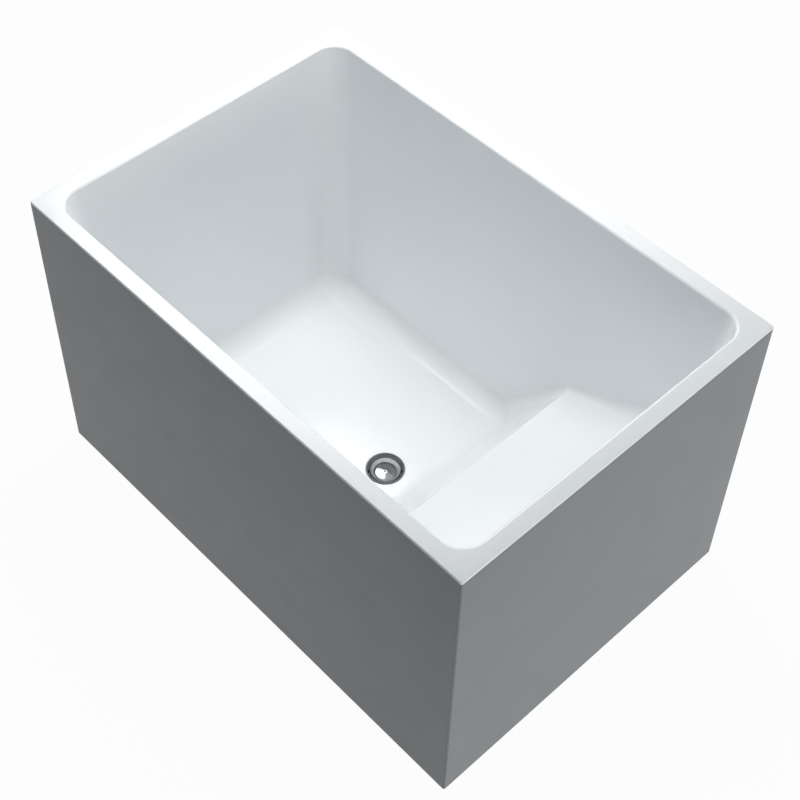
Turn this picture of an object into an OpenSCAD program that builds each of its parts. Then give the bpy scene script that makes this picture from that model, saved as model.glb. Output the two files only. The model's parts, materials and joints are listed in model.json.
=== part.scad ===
// Freestanding soaking bathtub: a white moulded tub with a seat at one end, glued into a grey
// four-sided skirt, on a welded steel frame with levelling feet and a pop-up waste.
// The origin is the middle of the footprint, on the floor. +X points to the seat, +Z up.
// Front is -Y, back is +Y, left is -X and right is +X.

/* [Bath] */
// Overall length, over the skirt
bath_l = 1000; // [960:10:1300]
// Overall width, over the skirt
bath_w = 680; // [640:10:800]
// Overall height, from the floor to the top of the rim
bath_h = 620; // [580:10:700]

/* [Skirt] */
// Thickness of the skirt
skirt_t = 6; // [5:0.5:8]
// Outside radius of the skirt's upright corners
skirt_r = 4; // [3:0.5:10]
// Gap under the skirt, which the feet leave
skirt_gap = 4; // [4:0.5:8]

/* [Tub] */
// Thickness of the moulded sheet
tub_t = 6; // [4:0.5:7]
// Height of the well's floor above the ground
floor_z = 70; // [70:1:90]
// Width of the rim, from the skirt's face to the wall of the well
rim_w = 30; // [28:1:40]
// How far the rim's edge lies inside the skirt's face
rim_inset = 0.5; // [0.5:0.5:2.5]
// Radius of the rim's rounded inner edge
lip_r = 6; // [3:1:8]
// Radius of the well's upright corners, at the rim
corner_r = 42; // [30:1:50]
// How far each wall leans in, from the rim to the floor
wall_lean = 60; // [30:1:70]
// Radius between the floor and the walls, at the left end
floor_fillet_r = 52; // [40:1:60]

/* [Seat] */
// Distance from the right wall, at the rim, to the foot of the riser
riser_foot_in = 395; // [370:1:400]
// Distance along the level from the foot of the riser to the seat's front edge
riser_run = 113; // [100:1:125]
// Radius at the foot of the riser
riser_fillet_r = 45; // [30:1:50]
// Height of the seat's front edge above the well's floor
seat_edge_h = 175; // [160:5:220]
// Slope of the seat, in degrees
seat_slope = 20; // [8:1:24]
// Radius between the seat and the side walls, near its front edge
seat_front_r = 15; // [8:1:20]
// Radius between the seat and the end wall
seat_back_r = 45; // [30:1:60]

/* [Boards and battens] */
// Thickness of the base board
board_t = 12; // [9:1:15]
// How far the board's edge stays inside the flat of the floor
board_in = 8; // [4:1:20]
// Thickness of each seat rib
rib_t = 12; // [9:1:18]
// Distance from the middle rib to each outer rib
rib_pitch = 150; // [100:5:170]
// Thickness of the rim battens
batten_t = 16; // [12:1:16]
// Height of the rim battens
batten_h = 30; // [20:1:50]

/* [Frame] */
// Outside width of the square rails
rail_w = 20; // [20:1:22]
// Wall of the rails and posts
tube_t = 1.5; // [1.2:0.1:2]
// Outside width of the square posts
post_w = 15; // [12:1:15]
// Distance from the bath's end to the middle of an end rail
end_rail_in = 160; // [150:5:180]
// Distance from the bath's side to the middle of a long rail
long_rail_in = 170; // [160:5:190]
// Distance from the middle of the bath to a middle rail
middle_rail_x = 130; // [100:5:180]

/* [Skirt brackets] */
// Length of each leg of a bracket
bracket_leg = 30; // [26:1:34]
// Height of the leg that is glued to the skirt
bracket_h = 40; // [30:1:60]
// Thickness of a bracket
bracket_t = 2; // [1.5:0.5:3]
// Width of a bracket
bracket_w = 20; // [16:1:30]
// Radius of a bracket screw
screw_r = 2; // [1.5:0.25:2.5]

/* [Levelling feet] */
// Distance from the bath's side to the middle of a foot
foot_in = 60; // [50:1:80]
// Radius of a foot pad
pad_r = 20; // [15:1:25]
// Height of the pad's disc
pad_disc_h = 5; // [4:0.5:6]
// Height of the pad with its socket
pad_h = 10; // [8:0.5:10]
// Radius of the threaded stud
stud_r = 5; // [4:0.5:6]
// Height of the stud's top above the ground
stud_top = 45; // [42:0.5:46]
// Width of the nuts across their flats
nut_af = 17; // [17:1:20]
// Height of a weld nut
weld_nut_h = 8; // [6:0.5:8]
// Height of a lock nut
lock_nut_h = 5; // [4:0.5:6]

/* [Waste] */
// Outside radius of the chromed flange
flange_r = 35; // [32:0.5:36]
// How far the flange stands above the well's floor
flange_proud = 1; // [0.5:0.25:2]
// Depth of the sump that is moulded for the flange
sump_d = 10; // [9:0.5:11]
// Gap between the flange and the wall of the sump
sump_gap = 1; // [0.5:0.25:1.5]
// Outside radius of the waste's threaded tail
tail_r = 23; // [22.5:0.5:24]
// Gap between the tail and the hole in the tub
tail_gap = 1.5; // [1:0.5:2]
// Radius of the waste's bore
waste_bore_r = 17.5; // [16:0.5:18]
// Radius of the pocket that the plug drops into
pocket_r = 20.6; // [20.2:0.1:21]
// Depth of that pocket, under the bowl
pocket_d = 8.5; // [8:0.5:9.5]
// Outside radius of the under seal and its washer
washer_r = 40; // [38:0.5:42]
// Width of the back nut across its flats
back_nut_af = 62; // [58:1:66]
// Height of the back nut
back_nut_h = 8; // [6:0.5:8]
// Width of the outlet nut across its flats
outlet_nut_af = 52; // [50:1:56]
// Outside radius of the outlet pipe
outlet_r = 20; // [19:0.5:20]
// Free length of the outlet pipe, under its nut
outlet_free = 21; // [16:0.5:21]

/* [Plug] */
// Radius of the plug's cap
cap_r = 19.8; // [19:0.1:20]
// Rise of the cap's dome
cap_dome = 2; // [1:0.25:3]
// Height of the cap's rim
cap_edge = 2.6; // [2:0.1:3]
// Radius of the plug's stem
stem_r = 4; // [3:0.25:5]
// How far the plug lifts
plug_lift = 10; // [6:1:10]

/* [Hidden] */

$fn = 64;
// Facets of the rounds that a hull joins
hull_fn = 32;
// Overlap that makes a cut clean
eps = 0.02;
// Gap between parts that are glued or laid together
bond_gap = 0.3;
// Gap between the frame's ends and the brackets
fit_gap = 0.5;
// Radial gap of a screw thread or a running stem
run_gap = 0.05;

// Colours as the photograph shows them, and plain ones for the hidden parts
white = [0.92, 0.94, 0.95];
grey = [0.45, 0.47, 0.48];
chrome = [0.75, 0.76, 0.78];
steel = [0.25, 0.26, 0.28];
zinc = [0.68, 0.69, 0.7];
ply = [0.72, 0.56, 0.38];
pine = [0.82, 0.68, 0.45];
rubber = [0.1, 0.1, 0.1];
pvc = [0.85, 0.85, 0.83];

// Half sizes of the footprint, the skirt's inside and the well's mouth
half_l = bath_l / 2;
half_w = bath_w / 2;
in_l = half_l - skirt_t;
in_w = half_w - skirt_t;
// Radius of the skirt's upright corners on the inside
skirt_in_r = max(skirt_r - skirt_t, 1);
mouth_l = half_l - rim_w;
mouth_w = half_w - rim_w;
// Height of the rim's underside, where the skirt ends
rim_z = bath_h - tub_t;

// Lean of the walls, as a slope and as an angle
lean = wall_lean / (rim_z - floor_z);
lean_angle = atan(lean);
// Half size of the well at a height, from its half size at the rim
function wall_at(half, z) = half - lean * (rim_z - z);
// How far a ball of radius r sits from a wall it touches, measured along the level
function ball_in(r) = r / cos(lean_angle);

// Foot of the riser, its angle and the balls that round it
riser_foot_x = mouth_l - riser_foot_in;
riser_angle = atan2(seat_edge_h, riser_run);
riser_ball_x = riser_foot_x - riser_fillet_r * tan(riser_angle / 2);
// Front edge of the seat, where its plane cuts the riser
seat_edge_z = floor_z + seat_edge_h;
seat_edge_x = riser_foot_x + riser_run;
// Where the riser's plane comes out of the well's mouth
riser_top_x = min(mouth_l, riser_foot_x + (rim_z - floor_z) / tan(riser_angle));
function seat_at(x) = seat_edge_z + (x - seat_edge_x) * tan(seat_slope);
// The balls at the seat's front lie this far before its edge, so that the edge is crisp
seat_front_in = 60;
seat_front_x = seat_edge_x - seat_front_in;
seat_front_z = seat_at(seat_front_x) + seat_front_r / cos(seat_slope);
// The balls at the seat's back touch the seat and the right wall
seat_back_z = (seat_at(mouth_l - lean * rim_z - ball_in(seat_back_r)) + seat_back_r / cos(seat_slope))
    / (1 - lean * tan(seat_slope));
seat_back_x = wall_at(mouth_l, seat_back_z) - ball_in(seat_back_r);

// Balls of the well's floor at its left end
floor_ball_z = floor_z + floor_fillet_r;
floor_ball_x = -wall_at(mouth_l, floor_ball_z) + ball_in(floor_fillet_r);
floor_ball_y = wall_at(mouth_w, floor_ball_z) - ball_in(floor_fillet_r);

// Heights under the well
tub_under = floor_z - tub_t;
board_under = tub_under - board_t;
rail_under = board_under - rail_w;

// Centre lines of the frame and the feet
end_rail_x = half_l - end_rail_in;
long_rail_y = half_w - long_rail_in;
frame_half_w = in_w - bracket_t - fit_gap;
frame_half_l = in_l - bracket_t - fit_gap;
post_y = frame_half_w - post_w / 2;
post_top = rim_z - batten_h;
foot_y = half_w - foot_in;

// How far the base board passes the right end rail
board_over = 5;
// Gap between the base board and the sump
board_hole_gap = 4;
// Sides of the base board
board_left = floor_ball_x + board_in;
board_right = end_rail_x + rail_w / 2 + board_over;
board_half_w = floor_ball_y - board_in;

// Heights and radii of the waste
sump_r = flange_r + sump_gap;
sump_z = floor_z - sump_d;
sump_under = sump_z - tub_t;
hole_r = tail_r + tail_gap;
// Thickness of the top seal and of the washer
seal_t = 1.5;
flange_seat_z = sump_z + seal_t;
// Thickness of the flange's plate, and the width of its broken edge
flange_t = 2;
flange_edge = 0.5;
// Radius of the flat that the flange sits on
flange_seat_r = flange_r - 3;
bowl_z = flange_seat_z + flange_t;
bowl_r = hole_r;
ledge_z = bowl_z - pocket_d;
under_seal_t = 2.5;
under_seal_z = sump_under - under_seal_t;
washer_z = under_seal_z - seal_t;
back_nut_z = washer_z - back_nut_h;
// Height of the outlet pipe's end above the ground
outlet_bottom = 3;
outlet_nut_z = outlet_bottom + outlet_free;
// Height of the nut's lip, which holds the collar of the outlet pipe
outlet_lip = 3;
outlet_collar_z = outlet_nut_z + outlet_lip;
outlet_collar_h = 3;
outlet_seal_z = outlet_collar_z + outlet_collar_h;
outlet_seal_t = 2;
tail_end = outlet_seal_z + outlet_seal_t;
outlet_nut_h = 16;
// Gap between the collar and the nut around it
collar_gap = 0.2;
outlet_collar_r = tail_r - collar_gap;

// Heights of the plug and its guide
// Gap under the plug's seal when it is shut
plug_gap = 0.2;
plug_seal_z = ledge_z + plug_gap;
plug_seal_t = 2;
cap_z = plug_seal_z + plug_seal_t;
// Height of the guide above the tail's end
guide_up = 4;
guide_z = tail_end + guide_up;
guide_h = 6;
// The collar at the stem's foot stays this far under the guide when the plug is up
stop_gap = 1;
stem_collar_t = 3;
stem_collar_r = stem_r + 2;
stem_foot_z = guide_z - plug_lift - stop_gap - stem_collar_t;

// Heights of the feet's nuts
weld_nut_z = rail_under - weld_nut_h;
lock_nut_z = weld_nut_z - lock_nut_h;
// Floor and wall of the socket in a foot's pad, and the play under the stud in it
socket_floor = 4;
socket_t = 4;
stud_play = 0.1;

module rounded_rect(l, w, r) {
    square([l, w - 2 * r], center = true);
    square([l - 2 * r, w], center = true);
    for (x = [-1, 1], y = [-1, 1])
        translate([x * (l / 2 - r), y * (w / 2 - r)])
            circle(r);
}

// Thin level plate with round corners, a little larger than the well's mouth all round
module mouth_plate(z, more) {
    translate([0, 0, z])
        linear_extrude(eps)
            rounded_rect(2 * (mouth_l + more), 2 * (mouth_w + more), corner_r + more,
                $fn = hull_fn);
}

// The part of the mouth's plate that lies over the deep end, up to the plane of the riser
module deep_end_plate(more, riser_more) {
    intersection() {
        mouth_plate(rim_z, more);
        translate([riser_top_x + riser_more - bath_l, -half_w, rim_z - eps])
            cube([bath_l, bath_w, 3 * eps]);
    }
}

// Lower half of a ball as a stack of discs. One disc lies where the walls touch the ball, and
// one where a plane of the given slope does, so that those planes come out true.
module half_ball(r, slope) {
    pole_r = 0.5;
    steps = 6;
    span = 90 - lean_angle;
    depths = concat([90 - slope], [for (i = [0:steps - 1]) lean_angle + span * i / steps]);
    for (depth = depths)
        translate([0, 0, -r * sin(depth)])
            cylinder(r = max(r * cos(depth), pole_r), h = eps, $fn = hull_fn);
    translate([0, 0, -r])
        cylinder(r = pole_r, h = eps, $fn = hull_fn);
}

// Pair of half balls of radius r against the front and back walls. With grow set they are
// larger by it, about the same centres.
module ball_pair(x, z, r, slope, grow) {
    for (side = [-1, 1])
        translate([x, side * (wall_at(mouth_w, z) - ball_in(r)), z])
            half_ball(r + grow, slope);
}

// Space inside the tub, or with grow set, the space that the tub's outside fills
module well(grow) {
    more = grow / cos(lean_angle);
    hull() {
        deep_end_plate(more, grow / sin(riser_angle));
        ball_pair(floor_ball_x, floor_ball_z, floor_fillet_r, 0, grow);
        ball_pair(riser_ball_x, floor_z + riser_fillet_r, riser_fillet_r, riser_angle, grow);
    }
    hull() {
        mouth_plate(rim_z, more);
        ball_pair(seat_front_x, seat_front_z, seat_front_r, seat_slope, grow);
        ball_pair(seat_back_x, seat_back_z, seat_back_r, seat_slope, grow);
    }
}

// Height and width of the rounded inner edge of the rim, at an angle along its arc
lip_height = min(lip_r, tub_t);
function lip_rise(angle) = lip_height * sin(angle);
function lip_spread(angle) = lip_r * (1 - cos(angle));

// Flare of the rim's rounded inner edge
module lip_flare() {
    steps = [0, 40, 68, 90];
    for (i = [0:2])
        hull() {
            mouth_plate(rim_z + lip_rise(steps[i]), lip_spread(steps[i]));
            mouth_plate(rim_z + lip_rise(steps[i + 1]), lip_spread(steps[i + 1]));
        }
}

module inner_tub() {
    color(white)
        difference() {
            union() {
                translate([0, 0, rim_z])
                    linear_extrude(tub_t)
                        rounded_rect(bath_l - 2 * rim_inset, bath_w - 2 * rim_inset,
                            skirt_r - rim_inset);
                well(tub_t);
                translate([0, 0, sump_under])
                    cylinder(r = sump_r + tub_t, h = sump_d);
            }
            well(0);
            lip_flare();
            translate([0, 0, sump_z])
                cylinder(r = sump_r, h = sump_d + eps);
            translate([0, 0, sump_under - eps])
                cylinder(r = hole_r, h = tub_t + 2 * eps);
        }
}

module outer_skirt() {
    color(grey)
        translate([0, 0, skirt_gap])
            difference() {
                linear_extrude(rim_z - skirt_gap)
                    rounded_rect(bath_l, bath_w, skirt_r);
                translate([0, 0, -eps])
                    linear_extrude(rim_z - skirt_gap + 2 * eps)
                        rounded_rect(2 * in_l, 2 * in_w, skirt_in_r);
            }
}

module base_board() {
    color(ply)
        translate([0, 0, board_under])
            difference() {
                translate([board_left, -board_half_w, 0])
                    cube([board_right - board_left, 2 * board_half_w, board_t]);
                translate([0, 0, -eps])
                    cylinder(r = sump_r + tub_t + board_hole_gap, h = board_t + 2 * eps);
            }
}

// Upright rib that fills the space between the base board and the seat
module seat_rib(y) {
    down = tub_t + bond_gap;
    // The riser's outside is moved along the level, and the seat's outside straight down
    riser_shift = down / sin(riser_angle);
    seat_shift = down / cos(seat_slope);
    foot_x = riser_foot_x + riser_shift + (tub_under - floor_z) / tan(riser_angle);
    // Where the two moved planes meet
    top_x = (seat_at(0) - seat_shift - floor_z + (riser_foot_x + riser_shift) * tan(riser_angle))
        / (tan(riser_angle) - tan(seat_slope));
    back_x = board_right - board_over;
    color(ply)
        translate([0, y + rib_t / 2, 0])
            rotate([90, 0, 0])
                linear_extrude(rib_t)
                    polygon([
                        [foot_x, tub_under],
                        [top_x, seat_at(top_x) - seat_shift],
                        [back_x, seat_at(back_x) - seat_shift],
                        [back_x, tub_under],
                    ]);
}

// Batten under the front or back of the rim
module long_batten(side) {
    end_gap = 1;
    length = 2 * (in_l - skirt_in_r - end_gap);
    color(pine)
        translate([0, side * (in_w - bond_gap - batten_t / 2), rim_z - batten_h / 2])
            cube([length, batten_t, batten_h], center = true);
}

// Batten under the left or right of the rim
module end_batten(side) {
    length = 2 * (in_w - 2 * bond_gap - batten_t);
    color(pine)
        translate([side * (in_l - bond_gap - batten_t / 2), 0, rim_z - batten_h / 2])
            cube([batten_t, length, batten_h], center = true);
}

// Square tube along X, with its middle at the origin
module square_tube(length, width) {
    difference() {
        cube([length, width, width], center = true);
        cube([length + 2 * eps, width - 2 * tube_t, width - 2 * tube_t], center = true);
    }
}

module long_rail(side) {
    color(steel)
        translate([0, side * long_rail_y, rail_under + rail_w / 2])
            square_tube(2 * end_rail_x - rail_w, rail_w);
}

module middle_rail(side) {
    color(steel)
        translate([side * middle_rail_x, 0, rail_under + rail_w / 2])
            rotate([0, 0, 90])
                square_tube(2 * long_rail_y - rail_w, rail_w);
}

// Hole up through the lower wall of a rail
module rail_hole(x, y, r) {
    translate([x, y, rail_under - eps])
        cylinder(r = r, h = tube_t + 2 * eps);
}

module end_rail(side) {
    color(steel)
        difference() {
            translate([side * end_rail_x, 0, rail_under + rail_w / 2])
                rotate([0, 0, 90])
                    square_tube(2 * frame_half_w, rail_w);
            for (end = [-1, 1]) {
                rail_hole(side * end_rail_x, end * foot_y, stud_r + fit_gap);
                rail_hole(side * end_rail_x, end * (in_w - bracket_leg / 2), screw_r + run_gap);
            }
        }
}

module frame_stub_rails() {
    start = end_rail_x + rail_w / 2;
    length = frame_half_l - start;
    color(steel)
        for (x = [-1, 1], y = [-1, 1])
            difference() {
                translate([x * (start + length / 2), y * long_rail_y, rail_under + rail_w / 2])
                    square_tube(length, rail_w);
                rail_hole(x * (in_l - bracket_leg / 2), y * long_rail_y, screw_r + run_gap);
            }
}

module frame_post(x, y) {
    length = post_top - board_under;
    color(steel)
        translate([x * end_rail_x, y * post_y, board_under + length / 2])
            rotate([0, 90, 0])
                square_tube(length, post_w);
}

// Places a child at each of the eight brackets, with +X pointing at the skirt
module at_brackets() {
    for (x = [-1, 1], y = [-1, 1]) {
        translate([x * in_l, y * long_rail_y, 0])
            rotate([0, 0, x > 0 ? 0 : 180])
                children();
        translate([x * end_rail_x, y * in_w, 0])
            rotate([0, 0, y * 90])
                children();
    }
}

module skirt_brackets() {
    color(zinc)
        at_brackets()
            translate([0, 0, rail_under - bracket_t])
                difference() {
                    translate([-bracket_leg, -bracket_w / 2, 0])
                        cube([bracket_leg, bracket_w, bracket_h]);
                    translate([-bracket_leg - eps, -bracket_w / 2 - eps, bracket_t])
                        cube([bracket_leg - bracket_t + eps, bracket_w + 2 * eps, bracket_h]);
                    translate([-bracket_leg / 2, 0, -eps])
                        cylinder(r = screw_r + run_gap, h = bracket_t + 2 * eps);
                }
}

module bracket_screws() {
    head_h = 2.5;
    past = 3;
    shank_h = bracket_t + tube_t + past;
    color(zinc)
        at_brackets()
            translate([-bracket_leg / 2, 0, rail_under - bracket_t]) {
                cylinder(r = screw_r, h = shank_h);
                translate([0, 0, -head_h])
                    cylinder(r = 2 * screw_r, h = head_h);
            }
}

// Places a child at each foot
module at_feet() {
    for (x = [-1, 1], y = [-1, 1])
        translate([x * end_rail_x, y * foot_y, 0])
            children();
}

module hex_nut(af, h, bore_r) {
    difference() {
        cylinder(d = af / cos(30), h = h, $fn = 6);
        translate([0, 0, -eps])
            cylinder(r = bore_r, h = h + 2 * eps);
    }
}

module foot_weld_nuts() {
    color(zinc)
        at_feet()
            translate([0, 0, weld_nut_z])
                hex_nut(nut_af, weld_nut_h, stud_r + run_gap);
}

module foot_lock_nuts() {
    color(zinc)
        at_feet()
            translate([0, 0, lock_nut_z])
                hex_nut(nut_af, lock_nut_h, stud_r + run_gap);
}

module foot_pad(x, y) {
    color(rubber)
        translate([x * end_rail_x, y * foot_y, 0])
            difference() {
                union() {
                    cylinder(r = pad_r, h = pad_disc_h);
                    cylinder(r = stud_r + socket_t, h = pad_h);
                }
                translate([0, 0, socket_floor])
                    cylinder(r = stud_r + run_gap, h = pad_h);
            }
}

module foot_stud(x, y) {
    stud_foot = socket_floor + stud_play;
    color(zinc)
        translate([x * end_rail_x, y * foot_y, stud_foot])
            cylinder(r = stud_r, h = stud_top - stud_foot);
}

// Flat ring from height z up
module ring(inner, outer, z, h) {
    translate([0, 0, z])
        difference() {
            cylinder(r = outer, h = h);
            translate([0, 0, -eps])
                cylinder(r = inner, h = h + 2 * eps);
        }
}

module waste_flange() {
    top = floor_z + flange_proud;
    color(chrome)
        rotate_extrude()
            polygon([
                [waste_bore_r, tail_end],
                [tail_r, tail_end],
                [tail_r, flange_seat_z],
                [flange_seat_r, flange_seat_z],
                [flange_r, top - flange_t],
                [flange_r, top - flange_edge],
                [flange_r - flange_edge, top],
                [flange_r - 3 * flange_edge, top],
                [bowl_r, bowl_z],
                [pocket_r, bowl_z],
                [pocket_r, ledge_z],
                [waste_bore_r, ledge_z],
            ]);
}

module waste_top_seal() {
    color(rubber)
        ring(hole_r, flange_seat_r, sump_z, seal_t);
}

module waste_under_seal() {
    color(rubber)
        ring(tail_r + fit_gap, washer_r, under_seal_z, under_seal_t);
}

module waste_washer() {
    color(pvc)
        ring(tail_r + fit_gap, washer_r, washer_z, seal_t);
}

module waste_back_nut() {
    color(pvc)
        translate([0, 0, back_nut_z])
            hex_nut(back_nut_af, back_nut_h, tail_r + run_gap);
}

module outlet_seal() {
    color(rubber)
        ring(waste_bore_r, tail_r - fit_gap, outlet_seal_z, outlet_seal_t);
}

module outlet_nut() {
    color(pvc)
        difference() {
            translate([0, 0, outlet_nut_z])
                cylinder(d = outlet_nut_af / cos(30), h = outlet_nut_h, $fn = 6);
            translate([0, 0, outlet_nut_z - eps])
                cylinder(r = outlet_r + bond_gap, h = outlet_lip + 2 * eps);
            translate([0, 0, outlet_collar_z])
                cylinder(r = tail_r + run_gap, h = outlet_nut_h);
        }
}

module outlet_pipe() {
    relief = 0.4;
    color(pvc)
        difference() {
            union() {
                translate([0, 0, outlet_bottom])
                    cylinder(r = outlet_r, h = outlet_free);
                translate([0, 0, outlet_nut_z])
                    cylinder(r = outlet_r - relief, h = outlet_lip);
                translate([0, 0, outlet_collar_z])
                    cylinder(r = outlet_collar_r, h = outlet_collar_h);
            }
            translate([0, 0, outlet_bottom - eps])
                cylinder(r = waste_bore_r - fit_gap, h = outlet_seal_z - outlet_bottom + 2 * eps);
        }
}

module plug_guide() {
    ring_t = 2.5;
    boss_r = stem_r + ring_t;
    arm_w = 3;
    // How far an arm reaches into the ring and into the boss
    bite = 1;
    ring_r = waste_bore_r - run_gap;
    color(chrome)
        translate([0, 0, guide_z])
            linear_extrude(guide_h)
                difference() {
                    union() {
                        difference() {
                            circle(ring_r);
                            circle(ring_r - ring_t);
                        }
                        circle(boss_r);
                        for (turn = [0, 120, 240])
                            rotate(turn)
                                translate([boss_r - bite, -arm_w / 2])
                                    square([ring_r - ring_t - boss_r + 2 * bite, arm_w]);
                    }
                    circle(stem_r + run_gap);
                }
}

module plug_cap() {
    // Radius of the ball that the dome is part of
    dome_r = (pow(cap_r, 2) + pow(cap_dome, 2)) / (2 * cap_dome);
    dome_angle = asin(cap_r / dome_r);
    dome_steps = 8;
    color(chrome)
        rotate_extrude()
            polygon(concat(
                [[0, cap_z], [cap_r, cap_z]],
                [for (i = [dome_steps:-1:0])
                    let (angle = dome_angle * i / dome_steps)
                    [dome_r * sin(angle), cap_z + cap_edge + cap_dome - dome_r * (1 - cos(angle))]]
            ));
}

module plug_seal() {
    // How far the seal stays inside the cap's edge
    edge_in = 0.6;
    color(rubber)
        ring(stem_collar_r, cap_r - edge_in, plug_seal_z, plug_seal_t);
}

module plug_stem() {
    color(chrome)
        translate([0, 0, stem_foot_z]) {
            cylinder(r = stem_r, h = cap_z - stem_foot_z);
            cylinder(r = stem_collar_r, h = stem_collar_t);
            translate([0, 0, plug_seal_z - stem_foot_z])
                cylinder(r = stem_collar_r - run_gap, h = plug_seal_t);
        }
}

inner_tub();
outer_skirt();
base_board();
seat_rib(-rib_pitch);  // seat_rib_front
seat_rib(0);  // seat_rib_middle
seat_rib(rib_pitch);  // seat_rib_back
long_batten(-1);  // rim_batten_front
long_batten(1);  // rim_batten_back
end_batten(-1);  // rim_batten_left
end_batten(1);  // rim_batten_right
long_rail(-1);  // frame_rail_front
long_rail(1);  // frame_rail_back
end_rail(-1);  // frame_end_rail_left
end_rail(1);  // frame_end_rail_right
middle_rail(-1);  // frame_middle_rail_left
middle_rail(1);  // frame_middle_rail_right
frame_stub_rails();
frame_post(-1, -1);  // frame_post_front_left
frame_post(1, -1);  // frame_post_front_right
frame_post(-1, 1);  // frame_post_back_left
frame_post(1, 1);  // frame_post_back_right
skirt_brackets();
bracket_screws();
foot_weld_nuts();
foot_lock_nuts();
waste_flange();
waste_top_seal();
waste_under_seal();
waste_washer();
waste_back_nut();
outlet_seal();
outlet_nut();
outlet_pipe();
plug_guide();
plug_cap();
plug_stem();
plug_seal();
foot_pad(-1, -1);  // foot_pad_front_left
foot_pad(1, -1);  // foot_pad_front_right
foot_pad(-1, 1);  // foot_pad_back_left
foot_pad(1, 1);  // foot_pad_back_right
foot_stud(-1, -1);  // foot_stud_front_left
foot_stud(1, -1);  // foot_stud_front_right
foot_stud(-1, 1);  // foot_stud_back_left
foot_stud(1, 1);  // foot_stud_back_right
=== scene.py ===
import json
import math

import bmesh
import bpy
from mathutils import Matrix, Vector


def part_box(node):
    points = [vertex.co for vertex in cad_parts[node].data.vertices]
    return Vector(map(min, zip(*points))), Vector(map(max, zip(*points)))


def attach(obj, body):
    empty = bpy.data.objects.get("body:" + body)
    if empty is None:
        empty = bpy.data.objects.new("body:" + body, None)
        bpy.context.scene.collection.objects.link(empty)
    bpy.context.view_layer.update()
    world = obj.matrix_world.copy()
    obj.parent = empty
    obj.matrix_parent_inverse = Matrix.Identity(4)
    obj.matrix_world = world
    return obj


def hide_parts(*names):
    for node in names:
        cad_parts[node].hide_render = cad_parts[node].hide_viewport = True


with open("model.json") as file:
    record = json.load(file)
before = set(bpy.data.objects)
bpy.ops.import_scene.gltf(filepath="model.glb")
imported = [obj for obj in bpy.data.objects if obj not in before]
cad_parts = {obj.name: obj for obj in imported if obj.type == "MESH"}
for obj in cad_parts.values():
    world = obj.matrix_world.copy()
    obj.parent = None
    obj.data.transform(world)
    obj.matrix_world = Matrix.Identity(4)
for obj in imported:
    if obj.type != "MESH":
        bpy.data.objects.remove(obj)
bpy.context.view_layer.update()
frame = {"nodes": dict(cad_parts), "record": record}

# Sizes of the bath, in metres, from the frame
SKIRT_LO, SKIRT_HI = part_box("outer_skirt")
TUB_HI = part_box("inner_tub")[1]
FLANGE_LO, FLANGE_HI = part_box("waste_flange")
CAP_LO, CAP_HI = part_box("plug_cap")
BOARD_LO, BOARD_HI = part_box("base_board")

# The skirt's sheet, its upright corners outside and inside, and the softening of its edges
SKIRT_WALL = 0.006
SKIRT_CORNER = 0.004
SKIRT_CORE_CORNER = 0.001
SKIRT_SOFTENING = 0.0008
# The tub's sheet, rim and well
SHEET = 0.006
RIM_TOP = TUB_HI.z
RIM_UNDER = RIM_TOP - SHEET
FLOOR = BOARD_HI.z + SHEET
RIM_WIDTH = 0.030
MOUTH_L = SKIRT_HI.x - RIM_WIDTH
MOUTH_W = SKIRT_HI.y - RIM_WIDTH
MOUTH_CORNER = 0.042
RIM_CORNER = 0.0035
LIP = 0.006
ARRIS = 0.0015
WALL_LEAN = 0.060
LEAN = WALL_LEAN / (RIM_UNDER - FLOOR)
LEAN_ANGLE = math.atan(LEAN)
# The riser and the seat
SEAT_END = 0.395
RISER_FOOT_X = MOUTH_L - SEAT_END
RISER_RUN = 0.113
SEAT_EDGE = 0.175
SEAT_SLOPE = math.tan(math.radians(20))
# Radii of the profile's bends, and of the fillet along the side walls at each bend
FLOOR_BEND = 0.052
RISER_BEND = 0.045
SEAT_EDGE_BEND = 0.007
SEAT_BACK_BEND = 0.045
SEAT_EDGE_FILLET = 0.014
# The sump for the waste
SUMP = FLANGE_HI.x + 0.001
SUMP_DEPTH = 0.010
WASTE_HOLE = 0.0245
# Hole in the base board for the sump, with room round it
SUMP_HOLE = SUMP + SHEET + 0.004
# Half width of the square of floor that the sump is set in
SUMP_PATCH = 0.041
# Faces across the patch, round the fillets, round the profile's bends and round the lip
SUMP_STEPS = 16
CORNER_STEPS = 14
BEND_STEPS = 14
LIP_STEPS = 8
# How near a point has to be to count as at a height, and as on a wall or at the sump
HEIGHT_MATCH = 0.0004
WALL_MATCH = 0.0002
# How near the rim's two sheets' points are when they merge
RIM_MERGE = 0.0004


def clear_selection():
    """Leaves object mode with nothing selected."""
    if bpy.context.mode != "OBJECT":
        bpy.ops.object.mode_set(mode="OBJECT")
    bpy.ops.object.select_all(action="DESELECT")


def edit(piece):
    """Opens the piece in edit mode with nothing selected."""
    clear_selection()
    bpy.context.view_layer.objects.active = piece
    piece.select_set(True)
    bpy.ops.object.mode_set(mode="EDIT")
    bpy.ops.mesh.select_mode(type="VERT")
    bpy.ops.mesh.select_all(action="DESELECT")
    return bmesh.from_edit_mesh(piece.data)


def pick_edges(piece, chosen):
    """Selects, in edit mode, only the edges that chosen picks."""
    bpy.ops.mesh.select_mode(type="EDGE")
    bpy.ops.mesh.select_all(action="DESELECT")
    mesh = bmesh.from_edit_mesh(piece.data)
    for edge in mesh.edges:
        if chosen(edge):
            edge.select = True
    mesh.select_flush_mode()
    bmesh.update_edit_mesh(piece.data)


def runs_along(axis):
    """Picks edges that lie along an axis."""
    def test(edge):
        run = edge.verts[0].co - edge.verts[1].co
        return abs(run[axis]) > 0.9 * run.length
    return test


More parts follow.
